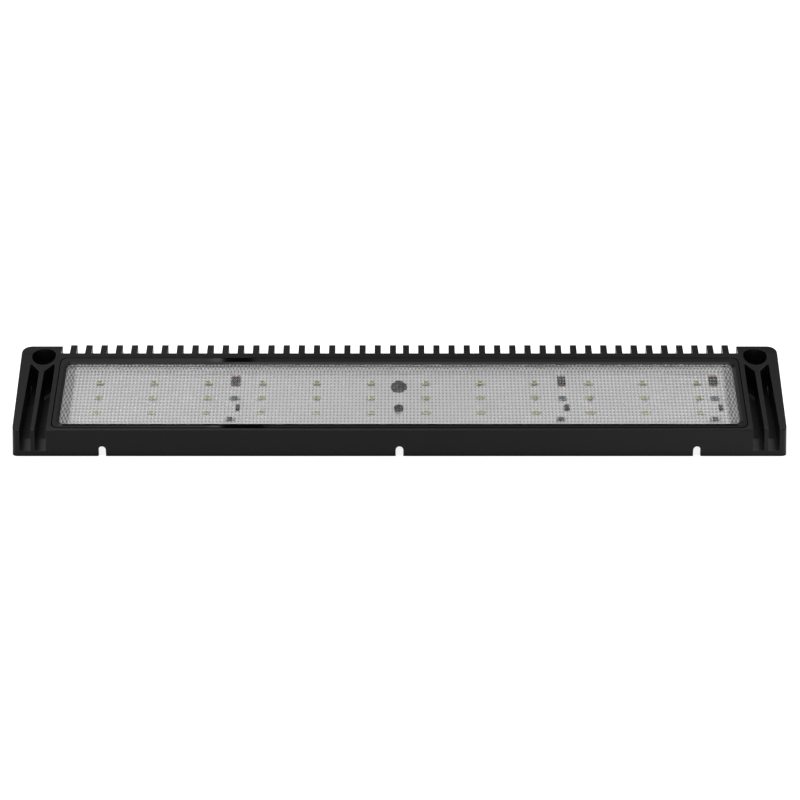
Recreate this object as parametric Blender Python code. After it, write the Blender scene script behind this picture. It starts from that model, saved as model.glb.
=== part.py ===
# Porch light for the outside wall of a motorhome: an LED panel in a finned die casting.
#
# The light lies on its back. X runs along it, Y runs from the skirt (its underside on
# the wall) to the fins (its top on the wall), and Z points out from the wall.
# The lens face is a plane that starts at the skirt's top edge and rises by LENS_TILT.
# "Up the slope" below is measured along that plane from that edge, and a depth below
# the face is measured square to it.

from math import cos, pi, radians, sin, sqrt, tan

import bmesh
import bpy
from mathutils import Matrix, Vector

# Housing: overall form
BODY_LENGTH = 0.4594            # foot of the skirt, end to end
BLOCK_REACH = 0.0108            # end blocks beyond the lens face's far edge
SKIRT_HEIGHT = 0.0168
SKIRT_WALL = 0.0025
END_FLARE = 0.0035              # how much wider each end is at the back
LENS_TILT = radians(24.0)
DRAFT = radians(2.5)            # lean of the outer walls
NEAR_CORNER_RADIUS = 0.0035
FAR_CORNER_RADIUS = 0.0058
RIM_ROUNDING = 0.0009           # rounding of the upper edges, taken off each face
RIM_STEPS = 3
BLOCK_CREST_TILT = radians(10.0)
BLOCK_RIM_ROUNDING = 0.0016     # softer near rim of an end block, taken off each face
BLOCK_RIM_FADE = 0.0050         # run in which it fades out beside the lens seat

# Housing: lens seat and plate
NEAR_RIM = 0.0011               # casting left between the seat and the skirt's face
SEAT_HEIGHT = 0.0591            # seat opening, up the slope
SEAT_CORNER_RADIUS = 0.0042
SEAT_LEDGE = 0.0020             # ledge that the bezel and its seal lie on
BAR_WIDTH = 0.0037              # strip of casting beyond the seat, up the slope
END_BLOCK_WIDTH = 0.0232        # end of the seat to the end of the skirt
PLATE_THICKNESS = 0.0023

# Housing: fins
FINS_PER_SIDE = 22
FIN_THICKNESS = 0.0039
FIN_MIDDLE_GAP = 0.0041
FIN_END_GAP = 0.0052
FIN_REACH = 0.0089              # beyond the bar
FIN_CREST_TILT = radians(16.0)
FIN_CREST_STEP = 0.0002         # crest below the bar's edge
FIN_DRAFT = radians(0.6)
FIN_FOOT_GAP = 0.0010           # fins stop short of the wall
FIN_NOSE = 0.0006               # chamfer at the crest's free end
BLOCK_INNER_STEP = 0.0002       # inner face of an end block, beyond the end of the seat

# Housing: end blocks
SCREW_BACK_INSET = 0.0127       # screw axis in from the foot of the block's back
COUNTERBORE_DIAMETER = 0.0146
SCREW_HOLE_DIAMETER = 0.0062
SCREW_SEAT_THICKNESS = 0.0070
BOSS_WALL = 0.0022              # round the counterbore, beside a pocket's outer wall
BOSS_TOE = 0.0047               # the same where the boss runs into the rib
RIB_THICKNESS = 0.0030          # at the boss
INNER_WALL = 0.0028             # between the lens seat and the inner pocket
OUTER_WALL = 0.0054             # between the outer pocket and the end of the skirt
POCKET_SILL = 0.0032            # casting left below a pocket's open end
POCKET_RAMP_LENGTH = 0.0082     # steeper start of the floor, behind the sill
POCKET_RAMP_TILT = radians(29.0)
POCKET_FLOOR_TILT = radians(19.5)
POCKET_TAPER = radians(0.5)     # widening towards the skirt, on each side
POCKET_DRAFT = radians(0.5)
POCKET_LEAN = radians(2.5)      # both walls, the way the housing's end leans
POCKET_CORNER_RADIUS = 0.0005
POCKET_END_RADIUS = 0.0050      # sweep from the floor up to the boss

# Housing: weep notches in the skirt
NOTCH_WIDTH = 0.0045
NOTCH_HEIGHT = 0.0061
NOTCH_FIN_GAP = 19              # the outer notches face this gap between the fins

# Lens and bezel
BEZEL_GROOVE = 0.0006           # open joint round the bezel
BEZEL_SIDE_WIDTH = 0.0039
BEZEL_FAR_WIDTH = 0.0049
BEZEL_NEAR_WIDTH = 0.0031
BEZEL_CHAMFER = 0.0016
WINDOW_RECESS = 0.0005          # window below the bezel's face
WINDOW_CORNER_RADIUS = 0.0030
LENS_THICKNESS = 0.0020
LENS_FLANGE_THICKNESS = 0.0010
LENS_FLANGE_WIDTH = 0.0018      # flange that the bezel holds down
SEAL_THICKNESS = 0.0008

# Light engine
AIR_GAP = 0.0026                # lens to board
BOARD_THICKNESS = 0.0016
BOARD_CLEARANCE = 0.0004
PAD_THICKNESS = 0.0005
PAD_INSET = 0.0040
REFLECTOR_SIDE_SLOPE = 0.0052   # run of the frame's sloped walls
REFLECTOR_FAR_SLOPE = 0.0048
REFLECTOR_NEAR_SLOPE = 0.0018
LED_COLUMNS = 12
LED_ROWS = 3
LED_END_MARGIN = 0.0214         # outer columns in from the window's ends
LED_ROW_SHARE = 0.281           # row pitch, share of the board that shows, up the slope
LED_LENGTH = 0.0035
LED_WIDTH = 0.0028
LED_HEIGHT = 0.0007
LED_CORNER_CUT = 0.0006
LED_CUP_WALL = 0.0004
LED_CUP_DEPTH = 0.0002
PATTERN_SHIFT = -0.0005         # the board's pattern lies a little off the middle

# Places above the middle of the LED pattern, shares of the board that shows
CHIP_RISE_SHARE = 0.324
RESISTOR_RISE_SHARE = -0.009
DIODE_RISE_SHARE = -0.187
CAPACITOR_RISE_SHARE = -0.415
LEAD_RISE_SHARE = 0.222
SCREW_RISE_SHARE = -0.208

# Driver parts, one set beside columns 3, 9 and 12
DRIVER_COLUMNS = (3, 9)
LAST_DRIVER_OFFSET = 0.0098     # last set, beyond the outer column
CHIP_LENGTH = 0.0050
CHIP_WIDTH = 0.0060
CHIP_HEIGHT = 0.0016
CHIP_BEVEL = 0.0003
RESISTOR_LENGTH = 0.0050
RESISTOR_WIDTH = 0.0026
RESISTOR_HEIGHT = 0.0006
DIODE_LENGTH = 0.0026
DIODE_WIDTH = 0.0040
DIODE_HEIGHT = 0.0014
DIODE_BEVEL = 0.0004
DIODE_SHIFT = 0.0022
CAPACITOR_LENGTH = 0.0046
CAPACITOR_WIDTH = 0.0026
CAPACITOR_HEIGHT = 0.0015
CAPACITOR_SHIFT = -0.0020
CHIP_END_WIDTH = 0.0007         # metal end caps of the resistor and the capacitor
END_CAP_STEP = 0.0001           # how far they stand proud

# Supply lead inlet and board screw
LEAD_HOLE_DIAMETER = 0.0100
LEAD_BOSS_WALL = 0.0030
LEAD_BOSS_LENGTH = 0.0050
LEAD_CLEARANCE = 0.0010         # round the boss, where the fins are cut away behind it
GROMMET_BORE = 0.0050
GROMMET_FLANGE_WIDTH = 0.0020
GROMMET_FLANGE_THICKNESS = 0.0015
POTTING_RISE = 0.0012           # dome of potting above the board
SCREW_SHANK_DIAMETER = 0.0030
SCREW_HEAD_DIAMETER = 0.0056
SCREW_HEAD_HEIGHT = 0.0018
SCREW_DRIVE_DIAMETER = 0.0024
SCREW_DRIVE_DEPTH = 0.0009
SCREW_BITE = 0.0016             # shank in the plate

# Gaps and fineness
SEAT_GAP = 0.0003               # between a piece and what it rests on
OVERRUN = 0.0040                # how far a cutter runs past what it cuts
ROUND_STEPS = 32                # sides of a full circle
CORNER_STEPS = 6                # sides of a rounded corner
POCKET_END_STEPS = 3            # sides of the sweep at a pocket's end

HALF_LENGTH = BODY_LENGTH / 2
SEAT_HALF_LENGTH = HALF_LENGTH - END_BLOCK_WIDTH
BLOCK_INNER = SEAT_HALF_LENGTH + BLOCK_INNER_STEP
SEAT_FAR = NEAR_RIM + SEAT_HEIGHT
BAR_FAR = SEAT_FAR + BAR_WIDTH
SKIRT_LEAN = SKIRT_HEIGHT * tan(DRAFT)
BODY_DEPTH = SKIRT_LEAN + BAR_FAR * cos(LENS_TILT) + BLOCK_REACH
SCREW_X = (SEAT_HALF_LENGTH + INNER_WALL + HALF_LENGTH - OUTER_WALL) / 2
SCREW_SETBACK = BODY_DEPTH - SCREW_BACK_INSET

# Depths below the lens face
LENS_BACK = WINDOW_RECESS + LENS_THICKNESS
SEAL_TOP = LENS_BACK + SEAT_GAP
LEDGE_DEPTH = SEAL_TOP + SEAL_THICKNESS + SEAT_GAP
BOARD_TOP = LENS_BACK + AIR_GAP
BOARD_BACK = BOARD_TOP + BOARD_THICKNESS
PAD_TOP = BOARD_BACK + SEAT_GAP
CAVITY_DEPTH = PAD_TOP + PAD_THICKNESS + SEAT_GAP
PLATE_BACK = CAVITY_DEPTH + PLATE_THICKNESS

# Window and LED pattern on the lens face
WINDOW_HALF_LENGTH = SEAT_HALF_LENGTH - BEZEL_GROOVE - BEZEL_SIDE_WIDTH
WINDOW_NEAR = NEAR_RIM + BEZEL_GROOVE + BEZEL_NEAR_WIDTH
WINDOW_FAR = SEAT_FAR - BEZEL_GROOVE - BEZEL_FAR_WIDTH
PATTERN_MIDDLE = (WINDOW_NEAR + WINDOW_FAR) / 2
LED_SPAN = 2 * (WINDOW_HALF_LENGTH - LED_END_MARGIN)
LED_PITCH = LED_SPAN / (LED_COLUMNS - 1)
FLOOR_HEIGHT = WINDOW_FAR - REFLECTOR_FAR_SLOPE - WINDOW_NEAR - REFLECTOR_NEAR_SLOPE
LED_ROW_PITCH = LED_ROW_SHARE * FLOOR_HEIGHT
LEAD_RISE = LEAD_RISE_SHARE * FLOOR_HEIGHT
SCREW_RISE = SCREW_RISE_SHARE * FLOOR_HEIGHT


def clear_scene():
    for thing in list(bpy.data.objects):
        bpy.data.objects.remove(thing, do_unlink=True)


def material(name, colour, roughness, metallic=0.0, transmission=0.0):
    finish = bpy.data.materials.new(name)
    finish.use_nodes = True
    shader = finish.node_tree.nodes["Principled BSDF"]
    shader.inputs["Base Color"].default_value = (*colour, 1.0)
    shader.inputs["Roughness"].default_value = roughness
    shader.inputs["Metallic"].default_value = metallic
    shader.inputs["Transmission Weight"].default_value = transmission
    return finish


def empty(name, location, tilt=0.0, parent=None):
    frame = bpy.data.objects.new(name, None)
    frame.location = location
    frame.rotation_euler = (tilt, 0.0, 0.0)
    frame.parent = parent
    bpy.context.scene.collection.objects.link(frame)
    return frame


def add_object(name, mesh, parent):
    thing = bpy.data.objects.new(name, mesh)
    thing.parent = parent
    bpy.context.scene.collection.objects.link(thing)
    return thing


def piece(name, mesh, finish, parent, location=(0.0, 0.0, 0.0)):
    thing = add_object(name, mesh, parent)
    thing.location = location
    if not mesh.materials:
        mesh.materials.append(finish)
    return thing


def guide(name, mesh, parent, location=(0.0, 0.0, 0.0)):
    thing = add_object(name, mesh, parent)
    thing.location = location
    thing.hide_render = True
    thing.display_type = "WIRE"
    return thing


def combine(target, tool, operation):
    step = target.modifiers.new(tool.name, "BOOLEAN")
    step.solver = "EXACT"
    step.operation = operation
    step.object = tool


def settle(thing):
    """Take the modifiers' result as the object's own mesh."""
    graph = bpy.context.evaluated_depsgraph_get()
    mesh = bpy.data.meshes.new_from_object(thing.evaluated_get(graph))
    thing.modifiers.clear()
    thing.data = mesh


def smooth(mesh, angle=radians(35.0)):
    mesh.shade_smooth()
    mesh.set_sharp_from_angle(angle=angle)
    return mesh


def skin(name, loops, wrap=False):
    """Faces between loops of as many points each, capped unless the last meets the first."""
    bm = bmesh.new()
    rings = [[bm.verts.new(point) for point in loop] for loop in loops]
    pairs = list(zip(rings, rings[1:]))
    if wrap:
        pairs.append((rings[-1], rings[0]))
    for low, high in pairs:
        for i in range(len(low)):
            j = (i + 1) % len(low)
            bm.faces.new((low[i], low[j], high[j], high[i]))
    if not wrap:
        bm.faces.new(rings[0])
        bm.faces.new(rings[-1])
    bmesh.ops.recalc_face_normals(bm, faces=bm.faces)
    mesh = bpy.data.meshes.new(name)
    bm.to_mesh(mesh)
    bm.free()
    return mesh


def rounded(corners, steps=CORNER_STEPS):
    """Outline through (x, y, radius) corners, with an arc at each."""
    points = []
    for i, (x, y, radius) in enumerate(corners):
        corner = Vector((x, y))
        if not radius:
            points.append(corner)
            continue
        back = (Vector(corners[i - 1][:2]) - corner).normalized()
        ahead = (Vector(corners[(i + 1) % len(corners)][:2]) - corner).normalized()
        half = back.angle(ahead) / 2
        centre = corner + (back + ahead).normalized() * radius / sin(half)
        start = corner + back * radius / tan(half) - centre
        turn = (pi - 2 * half) * (1 if back.cross(ahead) < 0 else -1)
        for k in range(steps + 1):
            points.append(centre + Matrix.Rotation(turn * k / steps, 2) @ start)
    return points


def at_height(outline, z):
    return [(point[0], point[1], z) for point in outline]


def on_plane_x(outline, x):
    return [(x, point[0], point[1]) for point in outline]


def circle(radius, z, x=0.0, y=0.0, steps=ROUND_STEPS):
    turns = [2 * pi * k / steps for k in range(steps)]
    return [(x + radius * cos(a), y + radius * sin(a), z) for a in turns]


def turned(name, profile, steps=ROUND_STEPS, wrap=False):
    """Turn (radius, z) points round the Z axis."""
    return smooth(skin(name, [circle(radius, z, steps=steps) for radius, z in profile], wrap))


def slab(name, outline, low, high):
    return skin(name, [at_height(outline, low), at_height(outline, high)])


def face_point(rise, depth=0.0):
    """(Y, Z) of a point up the slope and below the lens face, from the skirt's foot."""
    y = SKIRT_LEAN + rise * cos(LENS_TILT) + depth * sin(LENS_TILT)
    z = SKIRT_HEIGHT + rise * sin(LENS_TILT) - depth * cos(LENS_TILT)
    return y, z


def height_below_face(y, depth):
    """Z of the plane that lies depth below the lens face, at y."""
    start_y, start_z = face_point(0.0, depth)
    return start_z + (y - start_y) * tan(LENS_TILT)


def face_outline(half_length, near, far, radius):
    """Rounded rectangle on the lens face."""
    return rounded([(-half_length, near, radius), (half_length, near, radius),
                    (half_length, far, radius), (-half_length, far, radius)])


def seat_outline(inset):
    """The seat's outline, drawn in by a distance."""
    radius = SEAT_CORNER_RADIUS - inset / 2
    return face_outline(SEAT_HALF_LENGTH - inset, NEAR_RIM + inset, SEAT_FAR - inset, radius)


def window_outline(grow):
    """The window's outline, let out by a distance."""
    radius = WINDOW_CORNER_RADIUS + grow / 2
    half_length = WINDOW_HALF_LENGTH + grow
    return face_outline(half_length, WINDOW_NEAR - grow, WINDOW_FAR + grow, radius)


def plan_outline(inset):
    """The housing's outline from above, at the height where the draft has drawn it in."""
    near = HALF_LENGTH - inset
    far = HALF_LENGTH + END_FLARE - inset
    back = BODY_DEPTH - inset
    return rounded([(-near, inset, NEAR_CORNER_RADIUS), (near, inset, NEAR_CORNER_RADIUS),
                    (far, back, FAR_CORNER_RADIUS), (-far, back, FAR_CORNER_RADIUS)])


def body_side_profile():
    """Solid side view: lens face, then the end blocks' flatter crest."""
    bar_y, bar_z = face_point(BAR_FAR)
    front_y = -OVERRUN
    back_y = BODY_DEPTH + OVERRUN
    return [(front_y, 0.0), (front_y, height_below_face(front_y, 0.0)), (bar_y, bar_z),
            (back_y, bar_z + (back_y - bar_y) * tan(BLOCK_CREST_TILT)), (back_y, 0.0)]


def rim_edges(bm):
    """Upper edges between the sloped faces and the outer walls."""
    found = []
    for edge in bm.edges:
        tops = [face for face in edge.link_faces if face.normal.z > sin(pi / 4)]
        walls = [face for face in edge.link_faces if abs(face.normal.z) < sin(pi / 8)]
        if len(tops) == 1 and len(walls) == 1:
            found.append(edge)
    return found


def round_rims(thing):
    bm = bmesh.new()
    bm.from_mesh(thing.data)
    bmesh.ops.bevel(bm, geom=rim_edges(bm), offset=RIM_ROUNDING, segments=RIM_STEPS,
                    profile=0.5, affect="EDGES", clamp_overlap=True)
    bm.to_mesh(thing.data)
    bm.free()


def make_body(parent, finish):
    """Outer form: the side view cut to the drafted plan, with its rims rounded."""
    length = HALF_LENGTH + END_FLARE + OVERRUN
    profile = body_side_profile()
    mesh = skin("housing", [on_plane_x(profile, -length), on_plane_x(profile, length)])
    body = piece("housing", mesh, finish, parent)
    top = max(z for _, z in profile)
    lean = tan(DRAFT)
    loops = [at_height(plan_outline(-OVERRUN * lean), -OVERRUN),
             at_height(plan_outline((top + OVERRUN) * lean), top + OVERRUN)]
    plan = guide("plan_cut", skin("plan_cut", loops), parent)
    combine(body, plan, "INTERSECT")
    settle(body)
    round_rims(body)
    return body


def hollow_back(parent):
    """Space behind the plate, open at the back and beyond the bar."""
    inner_foot = SKIRT_WALL
    inner_top_z = height_below_face(SKIRT_LEAN + SKIRT_WALL, PLATE_BACK)
    bar_y, bar_z = face_point(BAR_FAR)
    clear_y = BODY_DEPTH + OVERRUN
    clear_z = bar_z + clear_y
    outline = [(inner_foot, -OVERRUN), (inner_foot, 0.0),
               (SKIRT_LEAN + SKIRT_WALL, inner_top_z),
               (bar_y, height_below_face(bar_y, PLATE_BACK)), (bar_y, clear_z),
               (clear_y, clear_z), (clear_y, -OVERRUN)]
    loops = [on_plane_x(outline, -BLOCK_INNER), on_plane_x(outline, BLOCK_INNER)]
    return guide("back_cut", skin("back_cut", loops), parent)


def fin_outline():
    """Side view of one fin, sunk into the skirt, the plate and the bar."""
    bar_y, bar_z = face_point(BAR_FAR)
    inside_y = bar_y - BAR_WIDTH / 2
    tip_y = bar_y + FIN_REACH
    slope = tan(FIN_CREST_TILT)
    root_z = bar_z - FIN_CREST_STEP
    tip_z = root_z + FIN_REACH * slope
    plate_middle = PLATE_BACK - PLATE_THICKNESS / 2
    front_y = SKIRT_WALL / 2 + SKIRT_LEAN
    return [(front_y, FIN_FOOT_GAP), (front_y, height_below_face(front_y, plate_middle)),
            (inside_y, height_below_face(inside_y, plate_middle)),
            (inside_y, root_z - (bar_y - inside_y) * slope),
            (tip_y - FIN_NOSE, tip_z - FIN_NOSE * slope), (tip_y, tip_z - FIN_NOSE),
            (tip_y, FIN_FOOT_GAP)]


def fin_centres():
    first = (FIN_MIDDLE_GAP + FIN_THICKNESS) / 2
    last = BLOCK_INNER - FIN_END_GAP - FIN_THICKNESS / 2
    pitch = (last - first) / (FINS_PER_SIDE - 1)
    right = [first + pitch * k for k in range(FINS_PER_SIDE)]
    return [-x for x in reversed(right)] + right


def make_fins(parent):
    """All fins in one guide, each thinner towards the wall."""
    outline = fin_outline()
    top = max(z for _, z in outline)
    bm = bmesh.new()
    for x in fin_centres():
        sides = []
        for side in (-1, 1):
            points = [(x + side * (FIN_THICKNESS / 2 - (top - z) * tan(FIN_DRAFT)), y, z)
                      for y, z in outline]
            sides.append([bm.verts.new(point) for point in points])
        for i in range(len(outline)):
            j = (i + 1) % len(outline)
            bm.faces.new((sides[0][i], sides[0][j], sides[1][j], sides[1][i]))
        bm.faces.new(sides[0])
        bm.faces.new(sides[1])
    bmesh.ops.recalc_face_normals(bm, faces=bm.faces)
    mesh = bpy.data.meshes.new("fin_comb")
    bm.to_mesh(mesh)
    bm.free()
    return guide("fin_comb", mesh, parent)


def pocket_floor(y):
    """Floor height: a ramp behind the sill, then a gentler slope."""
    ramp = min(y, POCKET_RAMP_LENGTH) * tan(POCKET_RAMP_TILT)
    slope = max(0.0, y - POCKET_RAMP_LENGTH) * tan(POCKET_FLOOR_TILT)
    return POCKET_SILL + ramp + slope


def pocket_outline(rib_x, wall_x, pull=0.0):
    """Pocket on the lens face, seen from above: open at the skirt, slanted at the boss."""
    out = 1 if wall_x > rib_x else -1
    boss = COUNTERBORE_DIAMETER / 2
    rib_end = SCREW_SETBACK - boss - BOSS_TOE - pull
    reach = (boss + BOSS_WALL) ** 2 - (wall_x - SCREW_X) ** 2
    wall_end = SCREW_SETBACK - sqrt(max(0.0, reach)) - pull
    widen = out * tan(POCKET_TAPER)
    corners = [(rib_x - (rib_end - y) * widen, y, 0.0) for y in (POCKET_RAMP_LENGTH, -OVERRUN)]
    corners += [(wall_x + (wall_end - y) * widen, y, 0.0) for y in (-OVERRUN, POCKET_RAMP_LENGTH)]
    corners += [(wall_x, wall_end, POCKET_CORNER_RADIUS), (rib_x, rib_end, POCKET_CORNER_RADIUS)]
    return rounded(corners, CORNER_STEPS // 2)


def make_pocket(name, rib_x, wall_x, side, parent):
    """Pocket whose walls keep their draft and lean, measured from the lens face down."""
    middle = (rib_x + wall_x) / 2
    half_width = abs(wall_x - rib_x) / 2
    top = 2 * SKIRT_HEIGHT + BODY_DEPTH

    def place(x, y, z):
        drop = height_below_face(y, 0.0) - z
        narrowed = (x - middle) * (1 - drop * tan(POCKET_DRAFT) / half_width)
        return (side * (middle + narrowed + drop * tan(POCKET_LEAN)), y, z)

    loops = []
    for k in range(POCKET_END_STEPS + 1):
        turn = pi / 2 * k / POCKET_END_STEPS
        outline = pocket_outline(rib_x, wall_x, POCKET_END_RADIUS * (1 - sin(turn)))
        lift = POCKET_END_RADIUS * (1 - cos(turn))
        loops.append([place(x, y, pocket_floor(y) + lift) for x, y in outline])
    loops.append([place(x, y, top) for x, y in outline])
    bm = bmesh.new()
    rings = [[bm.verts.new(point) for point in loop] for loop in loops]
    for low, high in zip(rings, rings[1:]):
        for i in range(len(low)):
            j = (i + 1) % len(low)
            bm.faces.new((low[i], low[j], high[j], high[i]))
    bm.faces.new(rings[-1])
    bm.faces.new(rings[0][:4])
    bm.faces.new([rings[0][0]] + rings[0][3:])
    bmesh.ops.recalc_face_normals(bm, faces=bm.faces)
    bmesh.ops.triangulate(bm, faces=bm.faces)
    mesh = bpy.data.meshes.new(name)
    bm.to_mesh(mesh)
    bm.free()
    return guide(name, mesh, parent)


def rim_section(setback):
    """Side view of what a rounding takes off the near rim, and the space outside it."""
    edge = Vector((SKIRT_LEAN, SKIRT_HEIGHT))
    rise = Vector((cos(LENS_TILT), sin(LENS_TILT)))
    fall = Vector((-sin(DRAFT), -cos(DRAFT)))
    face_out = Vector((-sin(LENS_TILT), cos(LENS_TILT)))
    skirt_out = Vector((-cos(DRAFT), sin(DRAFT)))
    radius = setback * tan(rise.angle(fall) / 2)
    far = edge + rise * BODY_DEPTH
    foot = edge + fall * BODY_DEPTH
    arc = rounded([(*foot, 0.0), (*edge, radius), (*far, 0.0)])[1:-1]
    # Both ends run on past the casting's faces, for a clean cut.
    start = 2 * arc[0] - arc[1]
    end = 2 * arc[-1] - arc[-2]
    return [start] + arc[1:-1] + [end, edge + rise * setback + face_out * OVERRUN,
                                  edge + (face_out + skirt_out) * OVERRUN,
                                  edge + fall * setback + skirt_out * OVERRUN]


def rim_cut(name, side, parent):
    """Softer rounding of an end block's near rim, fading out beside the lens seat."""
    full = rim_section(BLOCK_RIM_ROUNDING)
    faded = rim_section(RIM_ROUNDING / 2)
    loops = [on_plane_x(full, side * (HALF_LENGTH + OVERRUN)),
             on_plane_x(full, side * SEAT_HALF_LENGTH),
             on_plane_x(faded, side * (SEAT_HALF_LENGTH - BLOCK_RIM_FADE))]
    return guide(name, skin(name, loops), parent)


def screw_hole(name, side, parent):
    """Counterbore from the front and a clearance hole to the wall."""
    top = BODY_DEPTH
    bore = COUNTERBORE_DIAMETER / 2
    hole = SCREW_HOLE_DIAMETER / 2
    profile = [(hole, -OVERRUN), (hole, SCREW_SEAT_THICKNESS), (bore, SCREW_SEAT_THICKNESS),
               (bore, top)]
    return guide(name, turned(name, profile), parent, (side * SCREW_X, SCREW_SETBACK, 0.0))


def weep_notch(name, x, parent):
    radius = NOTCH_WIDTH / 2
    spring = NOTCH_HEIGHT - radius
    turns = [pi * k / (2 * CORNER_STEPS) for k in range(2 * CORNER_STEPS + 1)]
    outline = [(x + radius, -OVERRUN)]
    outline += [(x + radius * cos(a), spring + radius * sin(a)) for a in turns]
    outline.append((x - radius, -OVERRUN))
    back = 2 * SKIRT_WALL
    loops = [[(px, y, pz) for px, pz in outline] for y in (-OVERRUN, back)]
    return guide(name, skin(name, loops), parent)


def lead_boss(parent):
    """Boss behind the plate, round the supply lead's hole."""
    radius = LEAD_HOLE_DIAMETER / 2 + LEAD_BOSS_WALL
    low = -(PLATE_BACK + LEAD_BOSS_LENGTH)
    high = -(PLATE_BACK - PLATE_THICKNESS / 2)
    return guide("lead_boss", turned("lead_boss", [(radius, low), (radius, high)]), parent,
                 (PATTERN_SHIFT, PATTERN_MIDDLE + LEAD_RISE, 0.0))


def lead_clearing(parent):
    """Room behind the boss, where the middle fins stop for the lead."""
    radius = LEAD_HOLE_DIAMETER / 2 + LEAD_BOSS_WALL + LEAD_CLEARANCE
    high = SEAT_GAP - (PLATE_BACK + LEAD_BOSS_LENGTH)
    low = high - BODY_DEPTH / 2
    return guide("lead_clearing", turned("lead_clearing", [(radius, low), (radius, high)]),
                 parent, (PATTERN_SHIFT, PATTERN_MIDDLE + LEAD_RISE, 0.0))


def lead_hole(parent):
    radius = LEAD_HOLE_DIAMETER / 2
    low = -(PLATE_BACK + LEAD_BOSS_LENGTH + OVERRUN)
    return guide("lead_hole", turned("lead_hole", [(radius, low), (radius, 0.0)]), parent,
                 (PATTERN_SHIFT, PATTERN_MIDDLE + LEAD_RISE, 0.0))


def tapped_hole(parent):
    """Hole in the plate for the board screw."""
    radius = SCREW_SHANK_DIAMETER / 2 + SEAT_GAP
    low = -(CAVITY_DEPTH + SCREW_BITE + SEAT_GAP)
    return guide("tapped_hole", turned("tapped_hole", [(radius, low), (radius, 0.0)]), parent,
                 (PATTERN_SHIFT, PATTERN_MIDDLE + SCREW_RISE, 0.0))


def make_housing(foot, face, finish):
    housing = make_body(foot, finish)
    combine(housing, hollow_back(foot), "DIFFERENCE")
    combine(housing, make_fins(foot), "UNION")
    combine(housing, lead_clearing(face), "DIFFERENCE")
    combine(housing, lead_boss(face), "UNION")
    ledge = slab("seat_cut", seat_outline(0.0), -LEDGE_DEPTH, OVERRUN)
    cavity = slab("cavity_cut", seat_outline(SEAT_LEDGE), -CAVITY_DEPTH, 0.0)
    combine(housing, guide("seat_cut", ledge, face), "DIFFERENCE")
    combine(housing, guide("cavity_cut", cavity, face), "DIFFERENCE")
    combine(housing, lead_hole(face), "DIFFERENCE")
    combine(housing, tapped_hole(face), "DIFFERENCE")
    spans = {"inner": (SCREW_X - RIB_THICKNESS / 2, SEAT_HALF_LENGTH + INNER_WALL),
             "outer": (SCREW_X + RIB_THICKNESS / 2, HALF_LENGTH - OUTER_WALL)}
    for end, side in (("left", -1), ("right", 1)):
        combine(housing, rim_cut(f"rim_cut_{end}", side, foot), "DIFFERENCE")
        for place, (rib_x, wall_x) in spans.items():
            pocket = make_pocket(f"pocket_{end}_{place}", rib_x, wall_x, side, foot)
            combine(housing, pocket, "DIFFERENCE")
        combine(housing, screw_hole(f"screw_hole_{end}", side, foot), "DIFFERENCE")
    centres = fin_centres()[FINS_PER_SIDE:]
    outer = (centres[NOTCH_FIN_GAP - 1] + centres[NOTCH_FIN_GAP]) / 2
    for name, x in (("notch_left", -outer), ("notch_middle", 0.0), ("notch_right", outer)):
        combine(housing, weep_notch(name, x, foot), "DIFFERENCE")
    settle(housing)
    smooth(housing.data)
    return housing


def make_lens(face, finish):
    """Window and the thinner flange round it."""
    window = window_outline(-SEAT_GAP)
    flange = window_outline(LENS_FLANGE_WIDTH)
    shoulder = -(LENS_BACK - LENS_FLANGE_THICKNESS)
    loops = [at_height(window, -WINDOW_RECESS), at_height(window, shoulder),
             at_height(flange, shoulder), at_height(flange, -LENS_BACK)]
    return piece("lens", smooth(skin("lens", loops)), finish, face)


def make_bezel(face, finish):
    """Black frame with a chamfered sight edge and a rebate over the lens flange."""
    outer = seat_outline(BEZEL_GROOVE)
    rebate = window_outline(LENS_FLANGE_WIDTH + SEAT_GAP)
    rebate_depth = LENS_BACK - LENS_FLANGE_THICKNESS - SEAT_GAP
    loops = [at_height(outer, -LENS_BACK), at_height(outer, 0.0),
             at_height(window_outline(BEZEL_CHAMFER), 0.0),
             at_height(window_outline(0.0), -WINDOW_RECESS),
             at_height(window_outline(0.0), -rebate_depth), at_height(rebate, -rebate_depth),
             at_height(rebate, -LENS_BACK)]
    return piece("lens_bezel", smooth(skin("lens_bezel", loops, wrap=True)), finish, face)


def make_seal(face, finish):
    outer = seat_outline(SEAT_GAP)
    inner = seat_outline(SEAT_LEDGE)
    low = -(SEAL_TOP + SEAL_THICKNESS)
    loops = [at_height(outer, low), at_height(outer, -SEAL_TOP), at_height(inner, -SEAL_TOP),
             at_height(inner, low)]
    return piece("lens_seal", smooth(skin("lens_seal", loops, wrap=True)), finish, face)


def make_reflector(face, finish):
    """Frame on the board whose inner walls slope from the window to the LEDs."""
    outer = seat_outline(SEAT_LEDGE + BOARD_CLEARANCE)
    low = face_outline(WINDOW_HALF_LENGTH - REFLECTOR_SIDE_SLOPE,
                       WINDOW_NEAR + REFLECTOR_NEAR_SLOPE, WINDOW_FAR - REFLECTOR_FAR_SLOPE,
                       WINDOW_CORNER_RADIUS)
    top = -(LENS_BACK + SEAT_GAP)
    bottom = -(BOARD_TOP - SEAT_GAP)
    loops = [at_height(outer, bottom), at_height(outer, top),
             at_height(window_outline(0.0), top), at_height(low, bottom)]
    return piece("reflector_frame", smooth(skin("reflector_frame", loops, wrap=True)), finish,
                 face)


def make_board(face, finish):
    outline = seat_outline(SEAT_LEDGE + BOARD_CLEARANCE)
    board = piece("led_board", slab("led_board", outline, -BOARD_BACK, -BOARD_TOP), finish, face)
    combine(board, bpy.data.objects["lead_hole"], "DIFFERENCE")
    combine(board, bpy.data.objects["tapped_hole"], "DIFFERENCE")
    return board


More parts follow.
